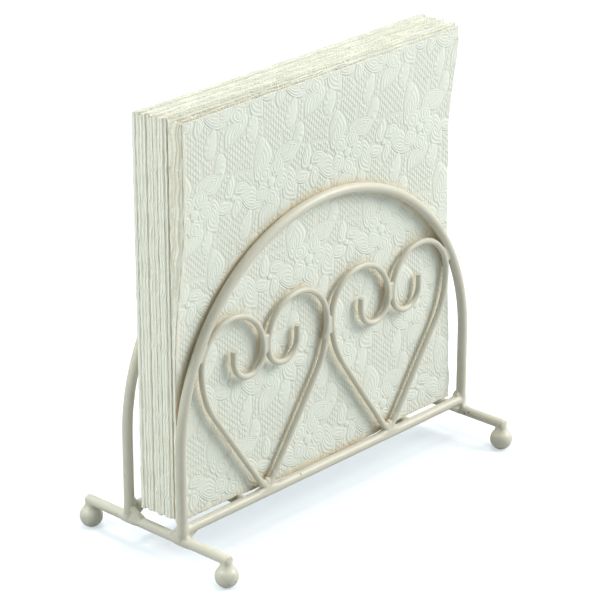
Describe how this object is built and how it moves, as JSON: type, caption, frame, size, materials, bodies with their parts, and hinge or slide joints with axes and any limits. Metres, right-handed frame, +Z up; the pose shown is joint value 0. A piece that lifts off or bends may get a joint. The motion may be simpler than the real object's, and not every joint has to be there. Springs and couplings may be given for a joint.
{
  "type": "napkin holder",
  "caption": "Enamelled wire napkin holder: two arched frames with scrolled wire hearts on ball feet, and folded embossed paper napkins standing in the slot between them.",
  "frame": {"origin": "on the table, under the middle of the holder", "axes": "+Z up, front frame towards -Y, rails along X"},
  "size_m": [0.1784, 0.0856, 0.1841],
  "materials": {
    "enamel": "cream enamel on steel wire, satin to glossy",
    "enamel_weld": "the same cream enamel run over the weld beads",
    "napkin_paper": "soft embossed tissue paper, matte"
  },
  "bodies": {
    "holder": {"front_arch": "enamel", "back_arch": "enamel", "front_rail": "enamel", "back_rail": "enamel", "left_foot_bar": "enamel", "right_foot_bar": "enamel", "front_left_foot": "enamel", "front_right_foot": "enamel", "back_left_foot": "enamel", "back_right_foot": "enamel", "left_rest": "enamel", "right_rest": "enamel", "front_left_heart_left_scroll": "enamel", "front_left_heart_right_scroll": "enamel", "front_right_heart_left_scroll": "enamel", "front_right_heart_right_scroll": "enamel", "back_left_heart_left_scroll": "enamel", "back_left_heart_right_scroll": "enamel", "back_right_heart_left_scroll": "enamel", "back_right_heart_right_scroll": "enamel", "front_heart_welds": "enamel_weld", "back_heart_welds": "enamel_weld", "corner_welds": "enamel_weld", "rest_welds": "enamel_weld"},
    "front_napkin": {"front_napkin": "napkin_paper"},
    "napkin_stack": {"napkin_stack": "napkin_paper"}
  },
  "joints": [
    {"name": "front_napkin_lift", "type": "slide", "parent": "holder", "child": "front_napkin", "axis": [0, 0, 1], "range_m": [0, 0.125]},
    {"name": "napkin_stack_lift", "type": "slide", "parent": "holder", "child": "napkin_stack", "axis": [0, 0, 1], "range_m": [0, 0.125]}
  ]
}
